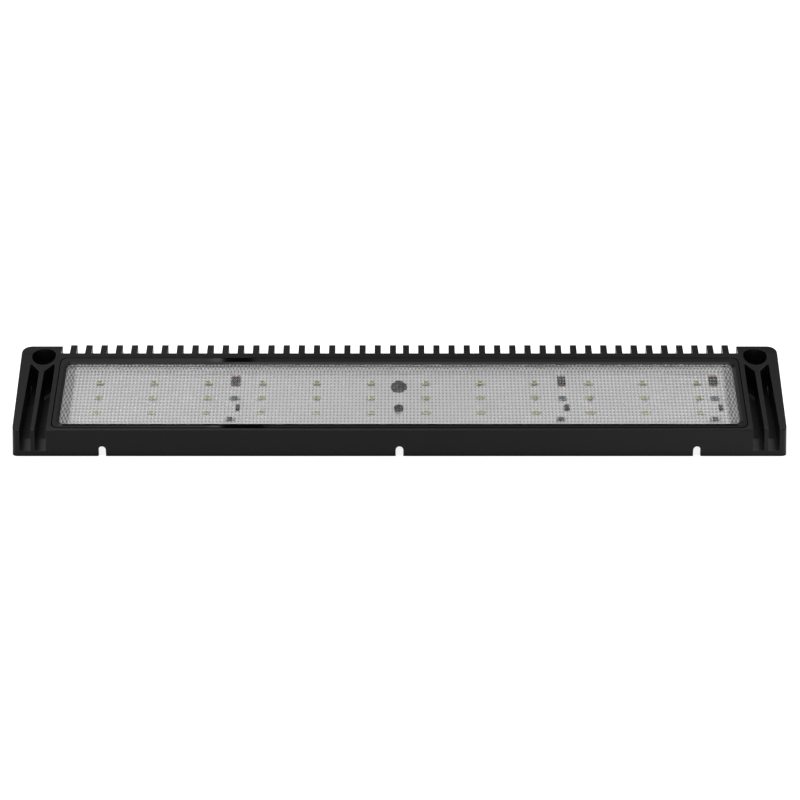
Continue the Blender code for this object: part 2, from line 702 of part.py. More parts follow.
def make_pad(face, finish):
    outline = seat_outline(SEAT_LEDGE + PAD_INSET)
    low = -(PAD_TOP + PAD_THICKNESS)
    pad = piece("thermal_pad", slab("thermal_pad", outline, low, -PAD_TOP), finish, face)
    combine(pad, bpy.data.objects["lead_hole"], "DIFFERENCE")
    combine(pad, bpy.data.objects["tapped_hole"], "DIFFERENCE")
    return pad


def cut_corner_box(length, width, cut):
    """Rectangle with one corner cut off, the LED's polarity mark."""
    x = length / 2
    y = width / 2
    return [(-x, -y), (x, -y), (x, y - cut), (x - cut, y), (-x, y)]


def led_mesh():
    """Square package with a shallow cup for the phosphor."""
    outline = cut_corner_box(LED_LENGTH, LED_WIDTH, LED_CORNER_CUT)
    rim = cut_corner_box(LED_LENGTH - 2 * LED_CUP_WALL, LED_WIDTH - 2 * LED_CUP_WALL,
                         LED_CORNER_CUT)
    floor = cut_corner_box(LED_LENGTH - 3 * LED_CUP_WALL, LED_WIDTH - 3 * LED_CUP_WALL,
                           LED_CORNER_CUT)
    loops = [at_height(outline, 0.0), at_height(outline, LED_HEIGHT), at_height(rim, LED_HEIGHT),
             at_height(floor, LED_HEIGHT - LED_CUP_DEPTH)]
    return skin("led", loops)


def led_x(column):
    return PATTERN_SHIFT + (column - (LED_COLUMNS + 1) / 2) * LED_PITCH


def board_place(x, rise):
    """Where a part stands on the board, given from the middle of the LED pattern."""
    return (x, PATTERN_MIDDLE + rise, SEAT_GAP - BOARD_TOP)


def make_leds(face, finish):
    mesh = led_mesh()
    for row in range(1, LED_ROWS + 1):
        rise = ((LED_ROWS + 1) / 2 - row) * LED_ROW_PITCH
        for column in range(1, LED_COLUMNS + 1):
            name = f"led_r{row}_c{column:02d}"
            piece(name, mesh, finish, face, board_place(led_x(column), rise))


def box_outline(length, width):
    x = length / 2
    y = width / 2
    return [(-x, -y), (x, -y), (x, y), (-x, y)]


def bevelled_block(name, length, width, height, bevel):
    """Moulded package whose upper edges are chamfered."""
    base = box_outline(length, width)
    top = box_outline(length - 2 * bevel, width - 2 * bevel)
    loops = [at_height(base, 0.0), at_height(base, height - bevel), at_height(top, height)]
    return skin(name, loops)


def capped_block(name, length, width, height):
    """Chip part whose metal ends stand a little proud of its middle."""
    body = length / 2 - CHIP_END_WIDTH
    loops = []
    for x, grow in ((-length / 2, END_CAP_STEP), (-body, END_CAP_STEP), (-body, 0.0),
                    (body, 0.0), (body, END_CAP_STEP), (length / 2, END_CAP_STEP)):
        side = width / 2 - END_CAP_STEP + grow
        top = height - END_CAP_STEP + grow
        loops.append([(x, -side, END_CAP_STEP - grow), (x, side, END_CAP_STEP - grow),
                      (x, side, top), (x, -side, top)])
    return skin(name, loops)


def driver_places():
    between = [led_x(column) + LED_PITCH / 2 for column in DRIVER_COLUMNS]
    return between + [led_x(LED_COLUMNS) + LAST_DRIVER_OFFSET]


def make_drivers(face, finishes):
    chip = bevelled_block("driver_chip", CHIP_LENGTH, CHIP_WIDTH, CHIP_HEIGHT, CHIP_BEVEL)
    diode = bevelled_block("diode", DIODE_LENGTH, DIODE_WIDTH, DIODE_HEIGHT, DIODE_BEVEL)
    resistor = capped_block("sense_resistor", RESISTOR_LENGTH, RESISTOR_WIDTH, RESISTOR_HEIGHT)
    capacitor = capped_block("capacitor", CAPACITOR_LENGTH, CAPACITOR_WIDTH, CAPACITOR_HEIGHT)
    kinds = (("driver_chip", chip, 0.0, CHIP_RISE_SHARE),
             ("sense_resistor", resistor, 0.0, RESISTOR_RISE_SHARE),
             ("diode", diode, DIODE_SHIFT, DIODE_RISE_SHARE),
             ("capacitor", capacitor, CAPACITOR_SHIFT, CAPACITOR_RISE_SHARE))
    for number, x in enumerate(driver_places(), start=1):
        for name, mesh, shift, rise_share in kinds:
            place = board_place(x + shift, rise_share * FLOOR_HEIGHT)
            piece(f"{name}_{number}", mesh, finishes[name], face, place)


def make_grommet(face, finish):
    """Rubber bush in the boss, with a flange behind it."""
    bore = GROMMET_BORE / 2
    body = LEAD_HOLE_DIAMETER / 2 - SEAT_GAP
    flange = LEAD_HOLE_DIAMETER / 2 + GROMMET_FLANGE_WIDTH
    seat = -(PLATE_BACK + LEAD_BOSS_LENGTH + SEAT_GAP)
    back = seat - GROMMET_FLANGE_THICKNESS
    front = -(CAVITY_DEPTH + PLATE_THICKNESS / 2)
    profile = [(bore, back), (flange, back), (flange, seat), (body, seat), (body, front),
               (bore, front)]
    mesh = turned("wire_grommet", profile, wrap=True)
    return piece("wire_grommet", mesh, finish, face,
                 (PATTERN_SHIFT, PATTERN_MIDDLE + LEAD_RISE, 0.0))


def make_potting(face, finish):
    """Dome of potting compound over the lead's hole in the board."""
    body = LEAD_HOLE_DIAMETER / 2 - SEAT_GAP
    low = -(CAVITY_DEPTH + PLATE_THICKNESS / 2 - SEAT_GAP)
    profile = [(body, low), (body, -BOARD_TOP)]
    for k in range(1, CORNER_STEPS):
        turn = pi / 2 * k / CORNER_STEPS
        profile.append((body * cos(turn), POTTING_RISE * sin(turn) - BOARD_TOP))
    mesh = turned("potting_seal", profile)
    return piece("potting_seal", mesh, finish, face,
                 (PATTERN_SHIFT, PATTERN_MIDDLE + LEAD_RISE, 0.0))


def make_board_screw(face, finish):
    """Pan-head screw through the board into the plate."""
    shank = SCREW_SHANK_DIAMETER / 2
    head = SCREW_HEAD_DIAMETER / 2
    seat = SEAT_GAP - BOARD_TOP
    drive = SCREW_DRIVE_DIAMETER / 2
    shoulder = seat + SCREW_HEAD_HEIGHT * 2 / 3
    top = seat + SCREW_HEAD_HEIGHT
    profile = [(shank, -(CAVITY_DEPTH + SCREW_BITE)), (shank, seat), (head, seat),
               (head, shoulder), ((head + drive) / 2, top), (drive, top),
               (drive, top - SCREW_DRIVE_DEPTH)]
    mesh = turned("board_screw", profile, steps=ROUND_STEPS // 2)
    return piece("board_screw", mesh, finish, face,
                 (PATTERN_SHIFT, PATTERN_MIDDLE + SCREW_RISE, 0.0))


def make_light():
    clear_scene()
    cast = material("black powder coat", (0.016, 0.016, 0.017), 0.45)
    gloss = material("black moulded plastic", (0.012, 0.012, 0.013), 0.12)
    clear = material("clear polycarbonate", (0.9, 0.92, 0.93), 0.05, transmission=0.9)
    rubber = material("black silicone rubber", (0.02, 0.02, 0.02), 0.7)
    white = material("white moulded plastic", (0.62, 0.63, 0.64), 0.5)
    board = material("white solder mask", (0.72, 0.73, 0.74), 0.4)
    pad = material("grey thermal pad", (0.3, 0.32, 0.35), 0.8)
    package = material("LED package", (0.75, 0.74, 0.6), 0.4)
    steel = material("blackened steel", (0.08, 0.08, 0.09), 0.4, metallic=1.0)
    finishes = {"driver_chip": material("black epoxy", (0.02, 0.02, 0.022), 0.5),
                "sense_resistor": material("blue-grey ceramic", (0.1, 0.11, 0.14), 0.5),
                "diode": material("dark epoxy", (0.03, 0.03, 0.03), 0.5),
                "capacitor": material("brown ceramic", (0.22, 0.16, 0.11), 0.5)}
    foot = empty("skirt_foot", (0.0, -BODY_DEPTH / 2, 0.0))
    face = empty("lens_face", (0.0, SKIRT_LEAN, SKIRT_HEIGHT), LENS_TILT, foot)
    make_housing(foot, face, cast)
    make_lens(face, clear)
    make_bezel(face, gloss)
    make_seal(face, rubber)
    make_reflector(face, white)
    make_board(face, board)
    make_pad(face, pad)
    make_leds(face, package)
    make_drivers(face, finishes)
    make_grommet(face, rubber)
    make_potting(face, rubber)
    make_board_screw(face, steel)


make_light()
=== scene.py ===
# %% [markdown]
# # Porch light with a finned die casting
#
# This lesson dresses a imported CAD model of a long LED porch light. The solids stay where
# the CAD says. What we add is what makes it look real: powder coat on the casting, a
# moulded prism lens, the parts on the circuit board behind it, and soft studio light.
#
# First we load the model.

# %% Load the model and measure it
from math import cos, pi, radians, sin, sqrt, tan

import bpy
from mathutils import Matrix, Vector


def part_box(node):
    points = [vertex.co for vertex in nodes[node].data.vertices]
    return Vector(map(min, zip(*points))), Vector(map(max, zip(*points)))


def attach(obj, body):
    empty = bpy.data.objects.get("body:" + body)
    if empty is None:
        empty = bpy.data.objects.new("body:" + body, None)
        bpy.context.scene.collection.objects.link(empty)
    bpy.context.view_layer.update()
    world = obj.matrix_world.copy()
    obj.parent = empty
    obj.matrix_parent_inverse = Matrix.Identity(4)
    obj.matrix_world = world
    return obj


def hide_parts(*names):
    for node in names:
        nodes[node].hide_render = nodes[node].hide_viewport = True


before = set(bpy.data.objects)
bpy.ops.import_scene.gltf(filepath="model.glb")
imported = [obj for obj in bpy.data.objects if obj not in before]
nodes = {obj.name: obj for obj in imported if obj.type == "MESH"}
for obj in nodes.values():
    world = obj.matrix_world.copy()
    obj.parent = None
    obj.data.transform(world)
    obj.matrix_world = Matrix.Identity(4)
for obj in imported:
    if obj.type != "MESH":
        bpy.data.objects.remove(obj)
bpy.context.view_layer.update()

# %% [markdown]
# ## The lens plane
#
# The window, the bezel and everything on the circuit board lie in one plane that starts at
# the top of the skirt and rises by 24 degrees. It is far easier to build those pieces flat,
# with X along the light, Y up the slope and Z out of the face, and to tip them into place
# with a single matrix. The same matrix, turned round, measures a CAD node in that plane.

# %% One matrix for the lens plane
MM = 0.001
LENS_TILT = radians(24.0)
SKIRT_HEIGHT = 16.8 * MM
SKIRT_DRAFT = radians(2.5)      # lean that lets the casting leave its die
foot_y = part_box("housing")[0].y
plane_start = Vector((0.0, foot_y + SKIRT_HEIGHT * tan(SKIRT_DRAFT), SKIRT_HEIGHT))
LENS_PLANE = Matrix.Translation(plane_start) @ Matrix.Rotation(LENS_TILT, 4, "X")
TO_PLANE = LENS_PLANE.inverted()
print("lens plane starts at", [round(v, 5) for v in plane_start])

# %% [markdown]
# ## Colours and nodes
#
# Colours are written as sRGB hex, the way a colour card gives them, and Blender wants them
# linear. Materials are node trees. We could write a function for each kind of node, but one
# that adds any node and fills its inputs is enough: an input gets either a plain value or
# the output of an earlier node, so a material reads from top to bottom like a recipe.


# %% Colours and nodes
def linear(hex_colour):
    """sRGB hex to the linear RGBA that shaders use."""
    shares = [int(hex_colour[i:i + 2], 16) / 255 for i in (1, 3, 5)]
    return (*(s / 12.92 if s <= 0.04045 else ((s + 0.055) / 1.055) ** 2.4 for s in shares), 1.0)


def add(tree, kind, inputs=None, take=None, **settings):
    """Add a node, set it, fill its inputs, and return the output named by take, or else its
    first one in use."""
    node = tree.nodes.new(kind)
    for key, value in settings.items():
        setattr(node, key, value)
    for socket, value in (inputs or {}).items():
        if isinstance(value, bpy.types.NodeSocket):
            tree.links.new(value, node.inputs[socket])
        else:
            node.inputs[socket].default_value = value
    if take:
        return node.outputs[take]
    return next((output for output in node.outputs if output.enabled), None)


def start_material(name):
    """A new material with an empty node tree."""
    finish = bpy.data.materials.new(name)
    finish.use_nodes = True
    finish.node_tree.nodes.clear()
    return finish, finish.node_tree


print("black #202020 is", [round(v, 4) for v in linear("#202020")])

# %% [markdown]
# ## Old pieces and new ones
#
# A CAD node keeps its mesh and only gets a new finish. A new piece, such as the patterned
# window, is drawn flat as lists of points and faces, and the lens plane's matrix tips it into
# place. It rides on the one body of this light, because nothing on it moves.


# %% Dress a node, make a piece
def dress(node, *finishes):
    """Give a CAD node its finishes in place of the plain one."""
    mesh = nodes[node].data
    mesh.materials.clear()
    for finish in finishes:
        mesh.materials.append(finish)
    return mesh


def new_object(name, mesh):
    """Put a mesh into the scene as an object."""
    thing = bpy.data.objects.new(name, mesh)
    bpy.context.scene.collection.objects.link(thing)
    return thing


def mesh_piece(name, verts, faces, finish, smooth=False):
    """A new piece, drawn in the lens plane's own measures and tipped into place."""
    mesh = bpy.data.meshes.new(name)
    mesh.from_pydata([LENS_PLANE @ Vector(v) for v in verts], [], faces)
    mesh.materials.append(finish)
    mesh.polygons.foreach_set("use_smooth", [smooth] * len(faces))
    mesh.update()
    thing = new_object(name, mesh)
    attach(thing, "root")
    return thing


print("the plain housing has", len(nodes["housing"].data.materials), "finish to replace")

# %% [markdown]
# ## Powder coat on the die casting
#
# The housing is die-cast aluminium with a black polyester powder coat. Powder is baked on as
# a thin satin skin with a slight orange peel. We could round every edge of the casting in the
# mesh, but the CAD solid stays as it is, so the Bevel node rounds them in the shading instead.
# Each open edge also gets a lighter grey in its colour, a painted highlight for the light that
# a rounded edge catches. The Bevel node can't tell a corner that stands out from one that
# lies inside a pocket, and an Ambient Occlusion node can: only open edges are rounded and get
# the painted highlight, and inner corners stay dark and sharp.

# %% Powder coat
PEEL_SIZE = 1.6 * MM            # orange peel, about the width of one swell
SPECK_SIZE = 0.5 * MM           # grain of the powder
CLOUD_SIZE = 40 * MM            # slow change in the coat's thickness
PEEL_DEPTH = 0.05 * MM
PEEL_STRENGTH = 0.12
EDGE_ROUND = 0.45 * MM
EDGE_TURN = (0.995, 0.90)       # cosine of the turn at which an edge starts and is full
OPEN_REACH = 2.0 * MM           # how near another wall counts as an inner corner
OPEN_SHARE = (0.80, 0.95)       # share of open sky from which a corner counts as open
COAT_ROUGHNESS = (0.26, 0.34)   # satin
COAT_SPECULAR = 0.2             # low, which keeps the black deep


def powder_coat(name, dark, light, highlight_colour):
    finish, tree = start_material(name)
    place = add(tree, "ShaderNodeTexCoord", take="Object")
    peel, speck, cloud = [
        add(tree, "ShaderNodeTexNoise", {"Vector": place, "Scale": 1 / size, "Detail": detail})
        for size, detail in ((PEEL_SIZE, 2.0), (SPECK_SIZE, 1.0), (CLOUD_SIZE, 3.0))]
    colour = add(tree, "ShaderNodeMix", {"Factor": cloud, "A": linear(dark),
                                         "B": linear(light)}, data_type="RGBA")
    rough = add(tree, "ShaderNodeMapRange", {"Value": speck, "To Min": COAT_ROUGHNESS[0],
                                             "To Max": COAT_ROUGHNESS[1]})
    # an edge is where the rounded normal turns away from the flat one
    flat = add(tree, "ShaderNodeNewGeometry", take="True Normal")
    edge = add(tree, "ShaderNodeBevel", {"Radius": EDGE_ROUND}, samples=8)
    same = add(tree, "ShaderNodeVectorMath", {0: edge, 1: flat}, "Value",
               operation="DOT_PRODUCT")
    edge_mask = add(tree, "ShaderNodeMapRange", {"Value": same, "From Min": EDGE_TURN[0],
                                            "From Max": EDGE_TURN[1]},
               interpolation_type="SMOOTHSTEP")
    # and it is an open one where no other wall is near
    sky = add(tree, "ShaderNodeAmbientOcclusion", {"Distance": OPEN_REACH}, "AO", samples=4)
    outer = add(tree, "ShaderNodeMapRange", {"Value": sky, "From Min": OPEN_SHARE[0],
                                             "From Max": OPEN_SHARE[1]})
    share = add(tree, "ShaderNodeMath", {0: edge_mask, 1: outer}, operation="MULTIPLY")
    # painted highlight: open edges take a lighter grey in place of the light a rounded edge
    # catches
    painted_highlight = add(tree, "ShaderNodeMix", {"Factor": share, "A": colour,
                                       "B": linear(highlight_colour)}, data_type="RGBA")
    rounded = add(tree, "ShaderNodeMix", {"Factor": outer, "A": flat, "B": edge},
                  data_type="VECTOR")
    swell = add(tree, "ShaderNodeBump", {"Height": peel, "Normal": rounded,
                                         "Strength": PEEL_STRENGTH, "Distance": PEEL_DEPTH})
    shader = add(tree, "ShaderNodeBsdfPrincipled",
                 {"Base Color": painted_highlight, "Roughness": rough, "Normal": swell,
                  "Specular IOR Level": COAT_SPECULAR})
    add(tree, "ShaderNodeOutputMaterial", {"Surface": shader})
    return finish


# a satin near-black without a cast, and a painted highlight of grey along each open edge
coat = powder_coat("powder_coated_die_casting", "#101011", "#151516", "#343435")
print("housing has", len(dress("housing", coat).polygons), "faces")

# %% [markdown]
# ## Bezel
#
# The bezel is moulded ABS, polished in the mould, and it mirrors the studio: the short black
# bar on it is the gap between two panels. Even polished plastic isn't perfectly even, because
# sink marks and handling blur it a little in places. A picture of smears could give that, but
# a broad noise on the roughness is simpler and has no seams. Gloss like this needs a low
# roughness, or the bar would melt into its surroundings.

# %% Polished black plastic
HAZE_SIZE = 12 * MM
POLISH_ROUGHNESS = (0.02, 0.05)
POLISH_SPECULAR = 0.4

bezel_plastic, tree = start_material("polished_black_abs")
place = add(tree, "ShaderNodeTexCoord", take="Object")
haze = add(tree, "ShaderNodeTexNoise", {"Vector": place, "Scale": 1 / HAZE_SIZE, "Detail": 4.0})
rough = add(tree, "ShaderNodeMapRange", {"Value": haze, "To Min": POLISH_ROUGHNESS[0],
                                         "To Max": POLISH_ROUGHNESS[1]})
# a deeper black than the coat's: nearly all that the eye gets from it is mirrored
shader = add(tree, "ShaderNodeBsdfPrincipled",
             {"Base Color": linear("#0b0b0c"), "Roughness": rough,
              "Specular IOR Level": POLISH_SPECULAR})
add(tree, "ShaderNodeOutputMaterial", {"Surface": shader})
print("bezel has", len(dress("lens_bezel", bezel_plastic).polygons), "faces")

# %% [markdown]
# ## Measures of the window
#
# The window's outer face is a grid of pillows that spread the light. The bezel's opening
# bounds it, and a whole number of pillows fits between its edges, 2.17 millimetres along and
# 2.54 across. Finish and mesh both need these measures, so they are worked out once.

# %% Window and pillows
# measures of the casting and the bezel, in millimetres
FOOT_HALF, END_BLOCK = 229.7, 23.2      # half of the skirt's foot, width of an end block
NEAR_RIM, SEAT_REACH = 1.1, 59.1        # the rim before the seat, and the seat up the slope
JOINT = 0.6                             # round the bezel
BEZEL_SIDE, BEZEL_NEAR, BEZEL_FAR = 3.9, 3.1, 4.9
LENS_GAP = 0.3 * MM                     # between window and bezel
PILLOW_SIZE = (2.165 * MM, 2.54 * MM)   # about this, once a whole number has to fit
lens_half = (FOOT_HALF - END_BLOCK - JOINT - BEZEL_SIDE) * MM - LENS_GAP
lens_near = (NEAR_RIM + JOINT + BEZEL_NEAR) * MM + LENS_GAP
lens_far = (NEAR_RIM + SEAT_REACH - JOINT - BEZEL_FAR) * MM - LENS_GAP
pillows_along = round(2 * lens_half / PILLOW_SIZE[0])
pillows_across = round((lens_far - lens_near) / PILLOW_SIZE[1])
pitch_along = 2 * lens_half / pillows_along
pitch_across = (lens_far - lens_near) / pillows_across
print(pillows_along, "by", pillows_across, "pillows, pitch",
      round(pitch_along / MM, 3), "and", round(pitch_across / MM, 3), "mm")

# %% [markdown]
# ## The window's pattern
#
# Where four pillows meet, the steep corners send nearly all light away from the eye, and each
# such corner shows as a dark dot. Over the sloping frame, along the top and both ends, the
# dots are darker and stand like a chessboard's squares. Refraction alone would need far finer
# prisms and many more samples to show that, so that shade is painted into the glass's colour
# on the same grid, with lighter streaks painted between the dots. One cosine wave per axis
# swings from 0 to 1 once per pillow, and their product is a dot. With a wave twice as long up
# the slope, the product becomes a chessboard.

# %% Tint over the pillows
DOT_RISE = 0.78                 # share of a pillow that a dark corner sits up the slope
DOT_SHARP = 1.2                 # higher makes the dark corners smaller
TOP_SHARP = 2.3                 # the same for the chessboard, along the top
SIDE_SHARP = 0.5                # and at both ends
SIDE_STRIP = (6.2 * MM, 5.3 * MM)       # in from the end, where its strip starts and is full
TOP_STRIP = (6.9 * MM, 6.3 * MM)
RIDGE_LIGHT = "#f4f4f4"
VALLEY_SHADE = "#ececec"
DOT_SHADE = "#8c8c8c"
BORDER_SHADE = "#000000"


def in_lens_plane(tree):
    """Coordinates measured in the lens plane."""
    place = add(tree, "ShaderNodeTexCoord", take="Object")
    return add(tree, "ShaderNodeMapping", {"Vector": place, "Location": plane_start,
                                           "Rotation": (LENS_TILT, 0.0, 0.0)},
               vector_type="TEXTURE")


def painted_prism_shade(tree):
    """Painted shade: dark dots, a dark chessboard over the sloping frame; painted lighter
    streaks.
    """
    axes = add(tree, "ShaderNodeSeparateXYZ", {"Vector": in_lens_plane(tree)}).node.outputs
    row_start = lens_near + DOT_RISE * pitch_across
    waves = []
    for axis, start, pitch in (("X", -lens_half, pitch_along), ("Y", row_start, pitch_across),
                               ("Y", row_start, 2 * pitch_across)):
        turns = add(tree, "ShaderNodeMath", {0: axes[axis], 1: start}, operation="SUBTRACT")
        turns = add(tree, "ShaderNodeMath", {0: turns, 1: 2 * pi / pitch}, operation="MULTIPLY")
        swing = add(tree, "ShaderNodeMath", {0: turns}, operation="COSINE")
        waves.append(add(tree, "ShaderNodeMath", {0: swing, 1: 0.5, 2: 0.5},
                         operation="MULTIPLY_ADD"))
    column, row, tall_row = waves

    out_from_middle = add(tree, "ShaderNodeMath", {0: axes["X"]}, operation="ABSOLUTE")
    side, top = [
        add(tree, "ShaderNodeMapRange", {"Value": value, "From Min": limit - strip[0],
                                         "From Max": limit - strip[1]},
            interpolation_type="SMOOTHSTEP")
        for value, limit, strip in ((out_from_middle, lens_half, SIDE_STRIP),
                                    (axes["Y"], lens_far, TOP_STRIP))]
    border = add(tree, "ShaderNodeMath", {0: side, 1: top}, operation="MAXIMUM")

    corner = add(tree, "ShaderNodeMath", {0: column, 1: row}, operation="MULTIPLY")
    corner = add(tree, "ShaderNodeMath", {0: corner, 1: DOT_SHARP}, operation="POWER")
    swing_x = add(tree, "ShaderNodeMath", {0: column, 1: 2.0, 2: -1.0}, operation="MULTIPLY_ADD")
    swing_y = add(tree, "ShaderNodeMath", {0: tall_row, 1: 0.5}, operation="SUBTRACT")
    chequer = add(tree, "ShaderNodeMath", {0: swing_x, 1: swing_y, 2: 0.5},
                  operation="MULTIPLY_ADD")
    sharpness = add(tree, "ShaderNodeMapRange", {"Value": side, "To Min": TOP_SHARP,
                                                 "To Max": SIDE_SHARP})
    chequer = add(tree, "ShaderNodeMath", {0: chequer, 1: sharpness}, operation="POWER")
    dot = add(tree, "ShaderNodeMix", {"Factor": border, "A": corner, "B": chequer})

    # painted light and shade: lighter streaks between the dots, the dots and the border darker
    streak = add(tree, "ShaderNodeMix", {"Factor": column, "A": linear(RIDGE_LIGHT),
                                         "B": linear(VALLEY_SHADE)}, data_type="RGBA")
    dark = add(tree, "ShaderNodeMix", {"Factor": border, "A": linear(DOT_SHADE),
                                       "B": linear(BORDER_SHADE)}, data_type="RGBA")
    return add(tree, "ShaderNodeMix", {"Factor": dot, "A": streak, "B": dark}, data_type="RGBA")


print("dots every", round(pitch_along / MM, 2), "by", round(pitch_across / MM, 2), "mm")

# %% [markdown]
# ## Clear polycarbonate
#
# The window is injection-moulded polycarbonate, IOR 1.585: clear, a little blurred where the
# melt flowed, and slightly greyed by the light that a prism lens throws back. Lamps can't
# shine through refracting glass in a path tracer without a lot of noise, so rays towards
# lamps see a Transparent shader and all others see the glass. The pillows' slopes catch every
# bright panel in the studio as glitter, which a low specular level keeps down.

# %% Clear lens material
FLOW_SIZE = 6 * MM              # width of the melt's flow marks
CLEAR_ROUGHNESS = (0.04, 0.10)
POLYCARBONATE_IOR = 1.585
CLEAR_SPECULAR = 0.1
PLATE_TINT = "#e0e0e0"
SHADOW_TINT = "#c8c8c8"


def clear_polycarbonate(name, patterned):
    finish, tree = start_material(name)
    place = add(tree, "ShaderNodeTexCoord", take="Object")
    flow = add(tree, "ShaderNodeTexNoise", {"Vector": place, "Scale": 1 / FLOW_SIZE,
                                            "Detail": 2.0})
    rough = add(tree, "ShaderNodeMapRange", {"Value": flow, "To Min": CLEAR_ROUGHNESS[0],
                                             "To Max": CLEAR_ROUGHNESS[1]})
    glass = add(tree, "ShaderNodeBsdfPrincipled",
                {"Base Color": painted_prism_shade(tree) if patterned else linear(PLATE_TINT),
                 "Roughness": rough, "Transmission Weight": 1.0, "IOR": POLYCARBONATE_IOR,
                 "Specular IOR Level": CLEAR_SPECULAR})
    clear = add(tree, "ShaderNodeBsdfTransparent", {"Color": linear(SHADOW_TINT)})
    to_lamp = add(tree, "ShaderNodeLightPath", take="Is Shadow Ray")
    shader = add(tree, "ShaderNodeMixShader", {0: to_lamp, 1: glass, 2: clear})
    add(tree, "ShaderNodeOutputMaterial", {"Surface": shader})
    return finish


prism_face = clear_polycarbonate("prism_polycarbonate", True)
lens_plastic = clear_polycarbonate("clear_polycarbonate", False)
print("clear finishes:", prism_face.name, "and", lens_plastic.name)

# %% [markdown]
# ## The prism lens
#
# Each pillow is a smooth bump of 0.22 millimetres, as the mould's cutter leaves it. Thousands
# of separate bumps would be slow to place, so one height function and a fine grid make them
# all. Points that fall outside the window's rounded corners are drawn in to the arc, and the
# outermost ring stays level as the mould's own rim.

# %% Height and corners
PILLOW_RISE = 0.22 * MM
PILLOW_STEPS = 4                # grid steps over one pillow
WINDOW_CORNER = 3.0 * MM
grid_along = pillows_along * PILLOW_STEPS
grid_across = pillows_across * PILLOW_STEPS


def into_corner(x, y, half, near, far, radius):
    """Draw a point outside a rounded rectangle's corner in to its arc."""
    corner_x = max(abs(x) - (half - radius), 0.0)
    corner_y = max(near + radius - y, y - (far - radius), 0.0)
    reach = sqrt(corner_x ** 2 + corner_y ** 2)
    if corner_x == 0.0 or corner_y == 0.0 or reach <= radius:
        return x, y
    pull = radius / reach
    side = 1 if x > 0 else -1
    start, up = (near + radius, -1) if y < near + radius else (far - radius, 1)
    return (half - radius + corner_x * pull) * side, start + up * corner_y * pull


def pillow_height(i, j):
    """Height at a step of the field: smooth bumps that meet in valleys, and a level rim."""
    if i in (0, grid_along) or j in (0, grid_across):
        return 0.0
    along = abs(sin(pi * i / PILLOW_STEPS))
    across = abs(sin(pi * j / PILLOW_STEPS))
    return PILLOW_RISE * (along * across - 1.0)


print("field of", grid_along, "by", grid_across, "steps")

# %% [markdown]
# ## Plate and flange of the lens
#
# Below the field, the window is a plate 2 millimetres thick with a thin flange all round,
# which the bezel holds down. A solidify modifier would thicken the whole face alike and give
# no flange. Instead the field's border is walked once, and three more loops of it, each set
# out and lowered as needed, are joined on to it in turn. The finished piece stands where the
# plain CAD lens was and replaces it.

# %% Lens mesh
LENS_TOP = -0.5 * MM            # window below the bezel's face
FLANGE_TOP = -1.5 * MM
LENS_BACK = -2.5 * MM
FLANGE_WIDTH = 1.8 * MM
SHARP_FROM = radians(60.0)      # the plate's edges stay crisp, the pillows smooth


def lens_mesh():
    half, near, far = lens_half, lens_near, lens_far
    columns, rows = grid_along, grid_across
    step_x, step_y = 2 * half / columns, (far - near) / rows
    radius = WINDOW_CORNER - LENS_GAP / 2
    verts = []
    for j in range(rows + 1):
        for i in range(columns + 1):
            x, y = into_corner(-half + i * step_x, near + j * step_y, half, near, far, radius)
            verts.append((x, y, LENS_TOP + pillow_height(i, j)))
    faces = []
    for j in range(rows):
        for i in range(columns):
            a = j * (columns + 1) + i
            faces.append((a, a + 1, a + columns + 2, a + columns + 1))
    edge = list(range(columns + 1))
    edge += [j * (columns + 1) + columns for j in range(1, rows + 1)]
    edge += [rows * (columns + 1) + i for i in range(columns - 1, -1, -1)]
    edge += [j * (columns + 1) for j in range(rows - 1, 0, -1)]
    ring = edge
    middle_y = (near + far) / 2
    flange = FLANGE_WIDTH + LENS_GAP
    for outset, z in ((0.0, FLANGE_TOP), (flange, FLANGE_TOP), (flange, LENS_BACK)):
        start = len(verts)
        grow_x = 1 + outset / half
        grow_y = 1 + outset / ((far - near) / 2)
        for k in edge:
            x, y, _ = verts[k]
            verts.append((x * grow_x, middle_y + (y - middle_y) * grow_y, z))
        fresh = list(range(start, start + len(edge)))
        for k in range(len(edge)):
            after = (k + 1) % len(edge)
            faces.append((ring[after], ring[k], fresh[k], fresh[after]))
        ring = fresh
    faces.append(tuple(reversed(ring)))
    return verts, faces


lens_verts, lens_faces = lens_mesh()
prism_lens = mesh_piece("prism_lens", lens_verts, lens_faces, prism_face,
                        smooth=True)
prism_lens.data.materials.append(lens_plastic)
for face in prism_lens.data.polygons[grid_along * grid_across:]:
    face.material_index = 1     # plate and flange have no pattern
prism_lens.data.set_sharp_from_angle(angle=SHARP_FROM)
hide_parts("lens")
print("prism lens has", len(lens_faces), "faces")

# %% [markdown]
# ## Behind the window
#
# The board is aluminium-cored, with a matt white solder mask that throws the light forward.
# White moulded ABS frames it. Both are given a light grey, not white, which paints in part of
# the shade they lie in behind the prism lens. What keeps them from looking like flat colour is
# the fine grain of the mask, the faint relief of the tracks under it and the slow clouding that
# every white surface has. The copper tracks could be modelled, but under the mask they are
# steps of a few hundredths of a millimetre, which a bump shows well enough.

# %% White mask, white plastic
TRACK_SPACING = 8.2 * MM
TRACK_EDGE = (0.45, 0.55)       # part of the wave in which a track's edge rises
MASK_GRAIN = 0.9 * MM           # real grain is finer, but wouldn't show
MOULD_GRAIN = 1.2 * MM
WHITE_CLOUD = 18 * MM
WHITE_RELIEF = 0.03 * MM


